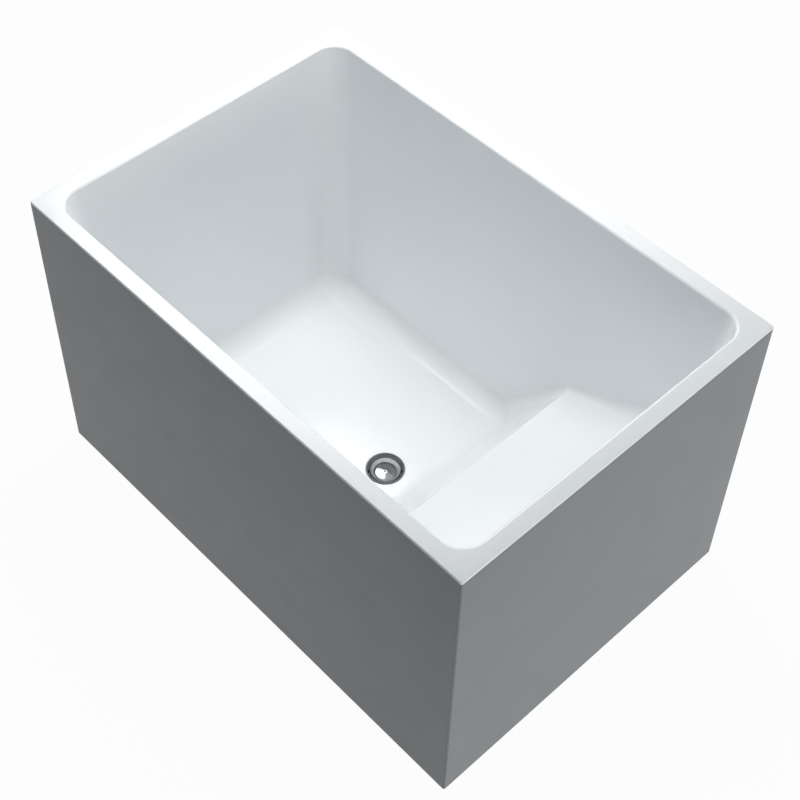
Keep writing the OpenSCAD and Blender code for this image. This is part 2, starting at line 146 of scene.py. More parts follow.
def close_edit(piece):
    bmesh.update_edit_mesh(piece.data)
    bpy.ops.object.mode_set(mode="OBJECT")


def named(name):
    """Names the object that was just added and returns it."""
    piece = bpy.context.active_object
    piece.name = name
    piece.data.name = name
    return piece


def settle(piece):
    """Puts the piece's place, turn and size into its mesh."""
    clear_selection()
    bpy.context.view_layer.objects.active = piece
    piece.select_set(True)
    bpy.ops.object.transform_apply(location=True, rotation=True, scale=True)


def apply_modifiers(piece):
    clear_selection()
    bpy.context.view_layer.objects.active = piece
    piece.select_set(True)
    for modifier in list(piece.modifiers):
        bpy.ops.object.modifier_apply(modifier=modifier.name)


def smooth(piece, degrees):
    """Shades the piece smooth, except over edges sharper than an angle."""
    clear_selection()
    bpy.context.view_layer.objects.active = piece
    piece.select_set(True)
    bpy.ops.object.shade_smooth_by_angle(angle=math.radians(degrees))


def weigh_normals(piece):
    """Keeps large flat faces flat beside their rounded edges."""
    modifier = piece.modifiers.new("weigh", "WEIGHTED_NORMAL")
    modifier.keep_sharp = True
    modifier.weight = 100
    apply_modifiers(piece)


def join(name, pieces):
    clear_selection()
    for piece in pieces:
        piece.select_set(True)
    bpy.context.view_layer.objects.active = pieces[0]
    bpy.ops.object.join()
    return named(name)


def weld(piece):
    """Merges the piece's doubled points and turns its faces outwards."""
    edit(piece)
    bpy.ops.mesh.select_all(action="SELECT")
    bpy.ops.mesh.remove_doubles(threshold=1e-5)
    bpy.ops.mesh.normals_make_consistent(inside=False)
    bpy.ops.object.mode_set(mode="OBJECT")


def finish_piece(piece, body, slot, *nodes):
    """Gives the piece to its body, its material slot and the CAD nodes that it stands for."""
    paint(piece, MATERIALS[slot])
    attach(piece, body)
    if nodes:
        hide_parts(*nodes)
    return piece


# Form of the well

def wall_at(half, z):
    """Half size of the well at a height, from its half size at the rim."""
    return half - LEAN * (RIM_UNDER - z)


def well_profile():
    """Stations along the well's middle, from the left rim down and up to the right rim.
    Each is (x, z, inward normal, radius of the side fillet there)."""
    seat_z = FLOOR + SEAT_EDGE
    edge_x = RISER_FOOT_X + RISER_RUN
    # The seat's plane meets the right wall here
    wall_foot = MOUTH_L - LEAN * RIM_UNDER
    back_z = (seat_z + (wall_foot - edge_x) * SEAT_SLOPE) / (1 - LEAN * SEAT_SLOPE)
    corners = [
        (Vector((-MOUTH_L, RIM_UNDER)), 0, MOUTH_CORNER),
        (Vector((-wall_at(MOUTH_L, FLOOR), FLOOR)), FLOOR_BEND, FLOOR_BEND),
        (Vector((RISER_FOOT_X, FLOOR)), RISER_BEND, RISER_BEND),
        (Vector((edge_x, seat_z)), SEAT_EDGE_BEND, SEAT_EDGE_FILLET),
        (Vector((wall_at(MOUTH_L, back_z), back_z)), SEAT_BACK_BEND, SEAT_BACK_BEND),
        (Vector((MOUTH_L, RIM_UNDER)), 0, MOUTH_CORNER),
    ]
    stations = []

    def add(point, along, radius):
        normal = Vector((-along.y, along.x))
        stations.append((point.x, point.y, normal, radius))

    for i, (point, bend, fillet) in enumerate(corners):
        before = (point - corners[i - 1][0]).normalized() if i else None
        after = (corners[i + 1][0] - point).normalized() if i + 1 < len(corners) else None
        if before is None:
            add(point, after, fillet)
        elif after is None:
            add(point, before, fillet)
        else:
            turn = math.atan2(before.x * after.y - before.y * after.x, before.dot(after))
            reach = bend * math.tan(abs(turn) / 2)
            start = point - before * reach
            side = 1 if turn > 0 else -1
            centre = start + Vector((-before.y, before.x)) * bend * side
            for step in range(BEND_STEPS + 1):
                angle = turn * step / BEND_STEPS
                along = Vector((
                    before.x * math.cos(angle) - before.y * math.sin(angle),
                    before.x * math.sin(angle) + before.y * math.cos(angle),
                ))
                add(centre - Vector((-along.y, along.x)) * bend * side, along, fillet)
            if i == 1:
                # Rows across the patch of floor that the sump is cut in
                flat = after
                for step in range(SUMP_STEPS + 1):
                    x = -SUMP_PATCH + 2 * SUMP_PATCH * step / SUMP_STEPS
                    share = (x - point.x) / (corners[2][0].x - point.x)
                    add(Vector((x, FLOOR)), flat, FLOOR_BEND + (RISER_BEND - FLOOR_BEND) * share)
    return stations


def well_row(station, grow):
    """Points of one row across the well, from the front wall to the back wall."""
    x, z, normal, radius = station
    inward = Vector((normal.x, 0, normal.y))
    centre = Vector((x, 0, z)) + inward * radius
    centre_y = wall_at(MOUTH_W, centre.z) - radius / math.cos(LEAN_ANGLE)
    wall = Vector((0, math.cos(LEAN_ANGLE), -math.sin(LEAN_ANGLE)))
    opening = inward.angle(-wall)
    spread = math.pi - opening
    arc = []
    for step in range(CORNER_STEPS + 1):
        share = step / CORNER_STEPS
        turned = (
            -inward * math.sin(spread * (1 - share)) + wall * math.sin(spread * share)
        ) / math.sin(spread)
        arc.append(centre + Vector((0, centre_y, 0)) + turned * (radius + grow))
    middle = arc[0]
    flat = [
        Vector((middle.x, -SUMP_PATCH + 2 * SUMP_PATCH * step / SUMP_STEPS, middle.z))
        for step in range(SUMP_STEPS + 1)
    ]
    front = [Vector((p.x, -p.y, p.z)) for p in reversed(arc)]
    return front + flat + arc


def well_sheet(name, grow):
    """One face of the tub's sheet inside the well, open at the rim and round the sump."""
    stations = well_profile()
    rows = [well_row(s, grow) for s in stations]
    for row in (rows[0], rows[-1]):
        for point in row:
            point.z = RIM_UNDER
    across = len(rows[0])
    clear_selection()
    bpy.ops.mesh.primitive_grid_add(x_subdivisions=across - 1, y_subdivisions=len(rows) - 1, size=2)
    piece = named(name)
    mesh = edit(piece)
    mesh.verts.ensure_lookup_table()
    ordered = sorted(mesh.verts, key=lambda v: (round(v.co.y, 5), round(v.co.x, 5)))
    for i, vert in enumerate(ordered):
        vert.co = rows[i // across][i % across]
    # The patch over the sump comes out
    for face in mesh.faces:
        middle = face.calc_center_median()
        flat = abs(middle.x) < SUMP_PATCH and abs(middle.y) < SUMP_PATCH
        face.select = flat and middle.z < FLOOR + 0.001
    bmesh.update_edit_mesh(piece.data)
    bpy.ops.mesh.delete(type="FACE")
    # Each side wall is one flat face inside its fillet
    mesh = bmesh.from_edit_mesh(piece.data)
    mesh.verts.ensure_lookup_table()
    for side in (-1, 1):
        bpy.ops.mesh.select_all(action="DESELECT")
        for edge in mesh.edges:
            if edge.is_boundary and all(is_on_wall(v.co, side, grow) for v in edge.verts):
                edge.select = True
        bmesh.update_edit_mesh(piece.data)
        bpy.ops.mesh.edge_face_add()
        mesh = bmesh.from_edit_mesh(piece.data)
    close_edit(piece)
    return piece


def is_on_wall(point, side, grow):
    """Whether a point lies on the flat part of the front or back wall."""
    wall_y = wall_at(MOUTH_W, point.z) + grow / math.cos(LEAN_ANGLE)
    return abs(point.y * side - wall_y) < WALL_MATCH


def grow_boundary(piece, chosen, place):
    """Extrudes the boundary edges that chosen picks and moves their new points with place."""
    mesh = edit(piece)
    for edge in mesh.edges:
        edge.select = edge.is_boundary and all(chosen(v.co) for v in edge.verts)
    bmesh.update_edit_mesh(piece.data)
    bpy.ops.mesh.extrude_edges_indiv()
    mesh = bmesh.from_edit_mesh(piece.data)
    for vert in mesh.verts:
        if vert.select:
            vert.co = place(vert.co.copy())
    close_edit(piece)


def offset_from_core(point, core_l, core_w, distance, z):
    """Point at a distance outside the rectangle core_l by core_w, straight out from where it was."""
    near = Vector((max(-core_l, min(core_l, point.x)), max(-core_w, min(core_w, point.y)), 0))
    away = Vector((point.x, point.y, 0)) - near
    return near + away.normalized() * distance + Vector((0, 0, z))


def rim_edge(point, inset, z):
    """Point of the rim's outline that belongs to a point of the well's mouth."""
    core_l = MOUTH_L - MOUTH_CORNER
    core_w = MOUTH_W - MOUTH_CORNER
    half_l = TUB_HI.x - inset
    half_w = TUB_HI.y - inset
    radius = RIM_CORNER - inset
    past_l = abs(point.x) - core_l
    past_w = abs(point.y) - core_w
    sx = math.copysign(1, point.x)
    sy = math.copysign(1, point.y)
    if past_l <= 1e-6:
        return Vector((point.x, sy * half_w, z))
    if past_w <= 1e-6:
        return Vector((sx * half_l, point.y, z))
    share = math.atan2(past_w, past_l) / (math.pi / 2)
    # Share of the mouth's turn that goes to each straight run beside the rim's corner
    run = 0.3
    if share < run:
        reach = share / run
        return Vector((sx * half_l, sy * (core_w + (half_w - radius - core_w) * reach), z))
    if share > 1 - run:
        reach = (1 - share) / run
        return Vector((sx * (core_l + (half_l - radius - core_l) * reach), sy * half_w, z))
    angle = (share - run) / (1 - 2 * run) * math.pi / 2
    return Vector((
        sx * (half_l - radius + radius * math.cos(angle)),
        sy * (half_w - radius + radius * math.sin(angle)),
        z,
    ))


def at_height(z):
    """Picks points at a height."""
    return lambda point: abs(point.z - z) < HEIGHT_MATCH


def round_point(point, radius, z):
    """Point on a circle round the waste, straight out from where it was."""
    out = Vector((point.x, point.y, 0)).normalized() * radius
    return Vector((out.x, out.y, z))


def make_tub():
    """The tub as one sheet: its inner and outer faces are grown from the well and meet at the rim."""
    core_l = MOUTH_L - MOUTH_CORNER
    core_w = MOUTH_W - MOUTH_CORNER
    inside = well_sheet("tub_inside", 0)
    # The lip rolls out of the well, the rim runs flat and its outer arris is broken
    height = RIM_UNDER
    for step in range(1, LIP_STEPS + 1):
        angle = math.pi / 2 * step / LIP_STEPS
        z = RIM_UNDER + LIP * math.sin(angle)
        spread = MOUTH_CORNER + LIP * (1 - math.cos(angle))
        grow_boundary(
            inside, at_height(height),
            lambda p: offset_from_core(p, core_l, core_w, spread, z),
        )
        height = z
    arris_middle = ARRIS * 0.3
    for inset, drop in ((ARRIS, 0), (arris_middle, arris_middle), (0, ARRIS), (0, SHEET)):
        z = RIM_TOP - drop
        grow_boundary(inside, at_height(height), lambda p: rim_from_lip(p, inset, z))
        height = z
    # The sump is a round recess with a hole in it
    height = FLOOR
    for radius, z in sump_rings():
        grow_boundary(inside, near_sump(height), lambda p: round_point(p, radius, z))
        height = z
    outside = well_sheet("tub_outside", SHEET)
    height = RIM_UNDER
    grow_boundary(outside, at_height(height), lambda p: rim_from_lip(p, 0, RIM_UNDER))
    height = FLOOR - SHEET
    under_sump = FLOOR - SUMP_DEPTH - SHEET
    for radius, z in ((SUMP + SHEET, height), (SUMP + SHEET, under_sump), (WASTE_HOLE, under_sump)):
        grow_boundary(outside, near_sump(height), lambda p: round_point(p, radius, z))
        height = z
    tub = join("tub_shell", [inside, outside])
    # The two sheets meet along the rim's outer edge
    mesh = edit(tub)
    for vert in mesh.verts:
        vert.select = vert.is_boundary and abs(vert.co.z - RIM_UNDER) < 1e-5
    bmesh.update_edit_mesh(tub.data)
    bpy.ops.mesh.remove_doubles(threshold=RIM_MERGE)
    weld(tub)
    smooth(tub, 35)
    weigh_normals(tub)
    return tub


def rim_from_lip(point, inset, z):
    """Like rim_edge, for a point that may already lie on the rim's outline."""
    if abs(point.x) > MOUTH_L + LIP + 0.001 or abs(point.y) > MOUTH_W + LIP + 0.001:
        centre_l = TUB_HI.x - RIM_CORNER
        centre_w = TUB_HI.y - RIM_CORNER
        return offset_from_core(point, centre_l, centre_w, RIM_CORNER - inset, z)
    return rim_edge(point, inset, z)


def sump_rings():
    """Rings of the sump's inner face, (radius, height), from the floor down through the hole."""
    edge = 0.0015
    bottom = FLOOR - SUMP_DEPTH
    rings = [(SUMP + edge * (1 - math.sin(a)), FLOOR - edge * (1 - math.cos(a)))
             for a in (math.radians(d) for d in (0, 30, 60, 90))]
    rings += [(SUMP, bottom + edge)]
    rings += [(SUMP - edge * (1 - math.cos(a)), bottom + edge * (1 - math.sin(a)))
              for a in (math.radians(d) for d in (45, 90))]
    return rings + [(WASTE_HOLE, bottom), (WASTE_HOLE, bottom - SHEET)]


def near_sump(z):
    """Picks points at a height that belong to the sump."""
    reach = 0.06
    return lambda point: (
        abs(point.z - z) < WALL_MATCH and abs(point.x) < reach and abs(point.y) < reach
    )


# Skirt

def rounded_block(name, low, high, corner):
    """Block whose upright edges are rounded."""
    block = boxed(name, low, high)
    edit(block)
    pick_edges(block, runs_along(2))
    bpy.ops.mesh.bevel(offset=corner, segments=6, affect="EDGES")
    bpy.ops.object.mode_set(mode="OBJECT")
    return block


def make_skirt():
    """Four-sided shell with rounded upright corners and softened edges."""
    skirt = rounded_block("skirt_shell", SKIRT_LO, SKIRT_HI, SKIRT_CORNER)
    past = Vector((-SKIRT_WALL, -SKIRT_WALL, 0.01))
    core = rounded_block("core", SKIRT_LO - past, SKIRT_HI + past, SKIRT_CORE_CORNER)
    cut(skirt, core)
    ease(skirt, SKIRT_SOFTENING, 3, 60)
    smooth(skirt, 35)
    weigh_normals(skirt)
    return skirt


# Turned pieces of the waste

def traced(name, outline, closed=True, y=0):
    """Draws an outline of (x, z) points as edges, and stays in edit mode with all of it selected."""
    clear_selection()
    first_x, first_z = outline[0]
    bpy.ops.mesh.primitive_plane_add(size=0.001, location=(first_x, y, first_z))
    piece = named(name)
    settle(piece)
    edit(piece)
    bpy.ops.mesh.select_all(action="SELECT")
    bpy.ops.mesh.merge(type="CENTER")
    ends = list(outline) + [outline[0]] * closed
    for (x0, z0), (x1, z1) in zip(ends, ends[1:]):
        step = (x1 - x0, 0, z1 - z0)
        bpy.ops.mesh.extrude_region_move(TRANSFORM_OT_translate={"value": step})
    bpy.ops.mesh.select_all(action="SELECT")
    bpy.ops.mesh.remove_doubles(threshold=1e-6)
    bpy.ops.mesh.select_all(action="SELECT")
    return piece


def turned(name, outline, steps=96, closed=True):
    """Turns an outline of (radius, height) points about the upright axis."""
    piece = traced(name, outline, closed)
    bpy.ops.mesh.spin(steps=steps, angle=2 * math.pi, center=(0, 0, 0), axis=(0, 0, 1))
    bpy.ops.mesh.select_all(action="SELECT")
    bpy.ops.mesh.remove_doubles(threshold=2e-6)
    bpy.ops.mesh.normals_make_consistent(inside=False)
    bpy.ops.object.mode_set(mode="OBJECT")
    return piece


def pressed(name, outline, width):
    """Draws an outline of (x, z) points out along Y, to both sides of the middle."""
    piece = traced(name, outline, y=-width / 2)
    bpy.ops.mesh.edge_face_add()
    bpy.ops.mesh.extrude_region_move(TRANSFORM_OT_translate={"value": (0, width, 0)})
    bpy.ops.mesh.select_all(action="SELECT")
    bpy.ops.mesh.normals_make_consistent(inside=False)
    bpy.ops.object.mode_set(mode="OBJECT")
    return piece


def thread(root, crest, low, high, pitch):
    """Outline points of a screw thread from one height to another."""
    turns = max(1, round((high - low) / pitch))
    step = (high - low) / turns
    points = []
    for i in range(turns):
        points += [(root, low + step * i), (crest, low + step * (i + 0.5))]
    return points + [(root, high)]


def set_round(name, model, places):
    """Copies the model to each place, (x, y, turn in degrees), and joins the copies."""
    copies = []
    for x, y, turn in places:
        copy = model.copy()
        copy.data = model.data.copy()
        bpy.context.scene.collection.objects.link(copy)
        copy.location = (x, y, 0)
        copy.rotation_euler = (0, 0, math.radians(turn))
        settle(copy)
        copies.append(copy)
    bpy.data.objects.remove(model)
    return join(name, copies)


def fillet(outline, radii, steps=5):
    """Rounds each corner of a closed outline by its radius."""
    rounded = []
    count = len(outline)
    for i in range(count):
        point = Vector(outline[i])
        to_last = Vector(outline[i - 1]) - point
        to_next = Vector(outline[(i + 1) % count]) - point
        radius = radii[i]
        if radius == 0:
            rounded.append(tuple(point))
            continue
        opening = to_last.angle(to_next)
        reach = radius / math.tan(opening / 2)
        start = point + to_last.normalized() * reach
        end = point + to_next.normalized() * reach
        for step in range(steps + 1):
            t = step / steps
            rounded.append(tuple(start * (1 - t) ** 2 + point * 2 * t * (1 - t) + end * t ** 2))
    return rounded


# Radius of the satin dish inside the flange's polished ring, whose dark colour is painted dark
# reflection
DISH = 0.0272


def make_flange():
    """Flange of the waste: a rounded edge, a polished cone, a satin dish and the plug's pocket."""
    top = FLANGE_HI.z
    outer = FLANGE_HI.x
    seal = 0.0015
    sheet = 0.002
    pocket_depth = 0.0085
    seat = FLOOR - SUMP_DEPTH + seal
    bowl = seat + sheet
    ledge = bowl - pocket_depth
    tail = 0.023
    bore = 0.0175
    pocket = 0.0206
    outline = [
        # The threaded tail and the underside
        (bore, FLANGE_LO.z), (tail, FLANGE_LO.z), (tail, seat), (outer - 0.003, seat),
        # The edge, the polished cone and the step down to the dish
        (outer, top - 0.002), (outer, top), (outer - 0.0011, top), (0.0285, top - 0.0052),
        (0.0276, top - 0.0054), (DISH, top - 0.0060),
        # The dish and the plug's pocket
        (0.0222, bowl - 0.0009), (pocket, bowl - 0.0022), (pocket, ledge), (bore, ledge),
    ]
    radii = [0.0004, 0.0006, 0.0004, 0.0006, 0.0004, 0.0005, 0.0005, 0.0008, 0.0003, 0.0004,
             0.0010, 0.0006, 0.0006, 0.0006]
    flange = turned("waste_bowl", fillet(outline, radii))
    smooth(flange, 30)
    return flange


def make_plug_cap():
    """Cap of the plug: a low cone with a rounded tip and edge, and a dimple in its middle."""
    rise = 0.002
    radius = CAP_HI.x
    dimple = 0.0016
    crown = CAP_HI.z
    under = CAP_LO.z
    tip = 0.005
    edge = 0.0008
    steps = 12
    slope = (rise - 0.0001) / (radius - edge - tip / 2)
    outline = [(0, crown - 0.0006), (dimple * 0.55, crown - 0.0005), (dimple, crown - 0.0001)]
    for step in range(1, steps + 1):
        r = dimple + (radius - edge - dimple) * step / steps
        fall = slope * r ** 2 / (2 * tip) if r < tip else slope * (r - tip / 2)
        outline.append((r, crown - fall))
    edge_z = outline[-1][1]
    outline += [
        (radius - 0.0002, edge_z - 0.0003), (radius, edge_z - 0.0009),
        (radius, under + 0.0004), (radius - 0.0004, under), (0, under),
    ]
    cap = turned("plug_dome", outline, closed=False)
    smooth(cap, 30)
    return cap


# Timber, with its edges eased

BATTEN_EASE = 0.0012
PLYWOOD_EASE = 0.0008


def boxed(name, low, high):
    """Block between two corners."""
    clear_selection()
    bpy.ops.mesh.primitive_cube_add(size=1, location=(low + high) / 2, scale=high - low)
    piece = named(name)
    settle(piece)
    return piece


def ease(piece, width, segments=2, degrees=30):
    """Rounds the edges that are sharper than an angle."""
    modifier = piece.modifiers.new("ease", "BEVEL")
    modifier.width = width
    modifier.segments = segments
    modifier.limit_method = "ANGLE"
    modifier.angle_limit = math.radians(degrees)
    apply_modifiers(piece)


def combine(piece, tool, operation):
    modifier = piece.modifiers.new("combine", "BOOLEAN")
    modifier.operation = operation
    modifier.solver = "EXACT"
    modifier.object = tool
    apply_modifiers(piece)
    bpy.data.objects.remove(tool)


def cut(piece, tool):
    """Takes the tool's shape out of the piece and deletes the tool."""
    combine(piece, tool, "DIFFERENCE")


def keep_common(piece, tool):
    """Keeps what the piece and the tool share, and deletes the tool."""
    combine(piece, tool, "INTERSECT")


def make_battens():
    """Sawn battens with eased edges, one under each side of the rim."""
    for side in ("front", "back", "left", "right"):
        low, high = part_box(f"rim_batten_{side}")
        batten = boxed(f"batten_{side}", low, high)
        ease(batten, BATTEN_EASE)
        smooth(batten, 30)
        finish_piece(batten, "bath", "softwood", f"rim_batten_{side}")


def make_board():
    """Base board with a round hole for the sump and eased edges."""
    board = boxed("board", BOARD_LO, BOARD_HI)
    clear_selection()
    bpy.ops.mesh.primitive_cylinder_add(
        vertices=96, radius=SUMP_HOLE, depth=0.1, location=(0, 0, BOARD_LO.z),
    )
    cut(board, bpy.context.active_object)
    ease(board, PLYWOOD_EASE)
    smooth(board, 30)
    finish_piece(board, "bath", "plywood", "base_board")


# Square tube with rounded corners

def square_tube(name, low, high, along, wall=0.0015, corner=0.0025):
    """Square tube between two corners, open at both ends of its axis."""
    tube = boxed(name, low, high)
    mesh = edit(tube)
    for face in mesh.faces:
        face.select = abs(face.normal[along]) > 0.5
    bmesh.update_edit_mesh(tube.data)
    bpy.ops.mesh.delete(type="ONLY_FACE")
    pick_edges(tube, runs_along(along))
    bpy.ops.mesh.bevel(offset=corner, segments=4, affect="EDGES")
    bpy.ops.object.mode_set(mode="OBJECT")
    solid = tube.modifiers.new("wall", "SOLIDIFY")
    solid.thickness = wall
    solid.offset = -1
    apply_modifiers(tube)
    smooth(tube, 35)
    return tube


def copied(name, node):
    """Copy of a CAD node, with its doubled points merged and its flat faces whole."""
    piece = bpy.data.objects.new(name, frame["nodes"][node].data.copy())
    bpy.context.scene.collection.objects.link(piece)
    weld(piece)
    edit(piece)
    bpy.ops.mesh.select_all(action="SELECT")
    bpy.ops.mesh.dissolve_limited(angle_limit=math.radians(1))
    bpy.ops.object.mode_set(mode="OBJECT")
    return piece


def make_ribs():
    """Plywood ribs under the seat, cut as their CAD nodes are, with eased edges."""
    for place in ("front", "middle", "back"):
        rib = copied(f"rib_{place}", f"seat_rib_{place}")
        ease(rib, PLYWOOD_EASE)
        smooth(rib, 30)
        finish_piece(rib, "bath", "plywood", f"seat_rib_{place}")


# Steel frame

RAIL_LO, RAIL_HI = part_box("frame_end_rail_right")
RAIL_X = (RAIL_LO.x + RAIL_HI.x) / 2
SIDE_RAIL_LO, SIDE_RAIL_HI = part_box("frame_rail_back")
SIDE_RAIL_Y = (SIDE_RAIL_LO.y + SIDE_RAIL_HI.y) / 2
STUD_LO, STUD_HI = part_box("foot_stud_back_right")
FOOT_Y = (STUD_LO.y + STUD_HI.y) / 2
# Inner sides of the skirt
INSIDE_L = SKIRT_HI.x - SKIRT_WALL
INSIDE_W = SKIRT_HI.y - SKIRT_WALL
# Brackets: their legs, and the strip that they are bent from
BRACKET_LEG = 0.030
STRIP = 0.002
STRIP_WIDTH = 0.020
SCREW_HOLE = 0.00205
# Room round each stud in the end rails
STUD_ROOM = 0.0005
WELD_BEAD = 0.0022


def drill(piece, x, y, z, radius):
    """Drills a short upright hole."""
    clear_selection()
    bpy.ops.mesh.primitive_cylinder_add(vertices=32, radius=radius, depth=0.008, location=(x, y, z))
    cut(piece, bpy.context.active_object)


def weld_bead(low, high):
    """Rounded bead of weld between two corners."""
    bead = boxed("bead", low, high)
    ease(bead, min(high - low) * 0.45, 3)
    return bead


def beads_round_end(low, high, along, end):
    """Three beads where a tube's end meets its neighbour: on both sides and underneath."""
    half = WELD_BEAD / 2
    across = 1 - along
    beads = []
    for side in (low[across], high[across]):
        bead_lo = Vector((0, 0, low.z + 0.001))
        bead_hi = Vector((0, 0, high.z - 0.001))
        bead_lo[along], bead_hi[along] = end - half, end + half
        bead_lo[across], bead_hi[across] = side - half, side + half
        beads.append(weld_bead(bead_lo, bead_hi))
    bead_lo = Vector((low.x, low.y, low.z - half))
    bead_hi = Vector((high.x, high.y, low.z + half))
    bead_lo[along], bead_hi[along] = end - half, end + half
    beads.append(weld_bead(bead_lo, bead_hi))
    return beads


def make_frame():
    """Welded frame of square tube: long, middle and end rails, stub rails and posts."""
    for node, along in (
        ("frame_rail_front", 0), ("frame_rail_back", 0),
        ("frame_middle_rail_left", 1), ("frame_middle_rail_right", 1),
    ):
        low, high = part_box(node)
        parts = [square_tube(node + "_tube", low, high, along)]
        for end in (low[along], high[along]):
            parts += beads_round_end(low, high, along, end)
        rail = join(node + "_welded", parts)
        smooth(rail, 35)
        finish_piece(rail, "bath", "frame_steel", node)
    for side, name in ((-1, "left"), (1, "right")):
        low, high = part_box(f"frame_end_rail_{name}")
        rail = square_tube(f"end_rail_{name}", low, high, 1)
        for end in (-1, 1):
            drill(rail, side * RAIL_X, end * FOOT_Y, low.z, STUD_HI.x - RAIL_X + STUD_ROOM)
            drill(rail, side * RAIL_X, end * (INSIDE_W - BRACKET_LEG / 2), low.z, SCREW_HOLE)
        smooth(rail, 35)
        finish_piece(rail, "bath", "frame_steel", f"frame_end_rail_{name}")
    end_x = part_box("frame_stub_rails")[1].x
    parts = []
    for x in (-1, 1):
        for y in (-1, 1):
            inner, outer = sorted((x * RAIL_HI.x, x * end_x))
            front, back = sorted((y * SIDE_RAIL_LO.y, y * SIDE_RAIL_HI.y))
            low = Vector((inner, front, RAIL_LO.z))
            high = Vector((outer, back, RAIL_HI.z))
            stub = square_tube("stub", low, high, 0)
            drill(stub, x * (INSIDE_L - BRACKET_LEG / 2), y * SIDE_RAIL_Y, RAIL_LO.z, SCREW_HOLE)
            parts += [stub] + beads_round_end(low, high, 0, x * RAIL_HI.x)
    stubs = join("stub_rails", parts)
    smooth(stubs, 35)
    finish_piece(stubs, "bath", "frame_steel", "frame_stub_rails")
    for end in ("front", "back"):
        for side in ("left", "right"):
            node = f"frame_post_{end}_{side}"
            post = square_tube(node + "_tube", *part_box(node), 2)
            finish_piece(post, "bath", "frame_steel", node)


def bracket_places():
    """Where the eight brackets stand, each turned towards the skirt."""
    places = []
    for x in (-1, 1):
        for y in (-1, 1):
            places.append((x * INSIDE_L, y * SIDE_RAIL_Y, 0 if x > 0 else 180))
            places.append((x * RAIL_X, y * INSIDE_W, y * 90))
    return places


def make_brackets():
    """Brackets bent from strip, with a round bend and a screw hole."""
    low = RAIL_LO.z - STRIP
    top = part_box("skirt_brackets")[1].z
    outline = [
        (-BRACKET_LEG, low), (0, low), (0, top),
        (-STRIP, top), (-STRIP, low + STRIP), (-BRACKET_LEG, low + STRIP),
    ]
    edge, outer_bend, inner_bend = 0.0003, 0.0035, 0.0015
    radii = [edge, outer_bend, edge, edge, inner_bend, edge]
    bracket = pressed("bracket", fillet(outline, radii), STRIP_WIDTH)
    drill(bracket, -BRACKET_LEG / 2, 0, low, SCREW_HOLE)
    brackets = set_round("bent_brackets", bracket, bracket_places())
    smooth(brackets, 30)
    finish_piece(brackets, "bath", "zinc_steel", "skirt_brackets")


def make_screws():
    """Pan-head screws with a cross recess and a thread."""
    low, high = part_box("bracket_screws")
    seat = RAIL_LO.z - STRIP
    root, crest, pitch = 0.0016, 0.002, 0.0007
    outline = [
        (0, low.z), (0.0022, low.z + 0.0001), (0.0034, low.z + 0.0006), (0.004, low.z + 0.0016),
        (0.004, seat - 0.0002), (0.0038, seat), (crest, seat),
    ]
    outline += thread(root, crest, seat + 0.0004, high.z - 0.0008, pitch)
    outline += [(0.001, high.z), (0, high.z)]
    screw = turned("screw", outline, 32, closed=False)
    head = Vector((0, 0, low.z))
    for size in ((0.0042, 0.0009, 0.0024), (0.0009, 0.0042, 0.0024)):
        half = Vector(size) / 2
        cut(screw, boxed("recess", head - half, head + half))
    places = []
    for x, y, turn in bracket_places():
        towards = math.radians(turn)
        step = Vector((math.cos(towards), math.sin(towards))) * BRACKET_LEG / 2
        # The recess stands askew, as a driver leaves it
        places.append((x - step.x, y - step.y, turn + 17))
    screws = set_round("pan_screws", screw, places)
    smooth(screws, 30)
    finish_piece(screws, "bath", "zinc_steel", "bracket_screws")


# Feet, and the nuts

FOOT_PITCH = 0.0015
FOOT_NUT_FLATS = 0.017
STUD_BORE = 0.00505
BORE_CHAMFER = 0.0008


def chamfered_bore(radius, low, high):
    """Bore with both ends chamfered, as (radius, height) points going down."""
    return [
        (radius + BORE_CHAMFER, high), (radius, high - BORE_CHAMFER),
        (radius, low + BORE_CHAMFER), (radius + BORE_CHAMFER, low),
    ]


def hex_nut(name, low, high, across_flats, bore_outline):
    """Six-sided nut with turned chamfers, round a bore given as (radius, height) points going down."""
    corner = across_flats / 2 / math.cos(math.radians(30))
    flat = across_flats / 2 - 0.0002
    drop = (corner - flat) * math.tan(math.radians(30))
    out = corner + 0.0005
    outline = [
        (flat, low), (corner, low + drop), (out, low + drop),
        (out, high - drop), (corner, high - drop), (flat, high),
    ]
    nut = turned(name, outline + bore_outline, 72)
    clear_selection()
    bpy.ops.mesh.primitive_cylinder_add(
        vertices=6, radius=corner, depth=high - low + 0.01,
        location=(0, 0, (low + high) / 2), rotation=(0, 0, math.radians(30)),
    )
    prism = bpy.context.active_object
    settle(prism)
    keep_common(nut, prism)
    return nut


def make_feet():
    """Four levelling feet, with their weld nuts and lock nuts."""
    places = [(x * RAIL_X, y * FOOT_Y, 0) for x in (-1, 1) for y in (-1, 1)]
    for node, name in (("foot_weld_nuts", "weld_nuts"), ("foot_lock_nuts", "lock_nuts")):
        low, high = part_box(node)
        inside = chamfered_bore(STUD_BORE, low.z, high.z)
        nut = hex_nut("nut", low.z, high.z, FOOT_NUT_FLATS, inside)
        nuts = set_round(name, nut, places)
        smooth(nuts, 30)
        finish_piece(nuts, "bath", "zinc_steel", node)
    for end in ("front", "back"):
        for side in ("left", "right"):
            make_stud(end, side)
            make_pad(end, side)


def set_at(piece, node):
    """Moves a piece that was made on the upright axis to the middle of its CAD node."""
    low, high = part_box(node)
    piece.location = ((low.x + high.x) / 2, (low.y + high.y) / 2, 0)
    settle(piece)


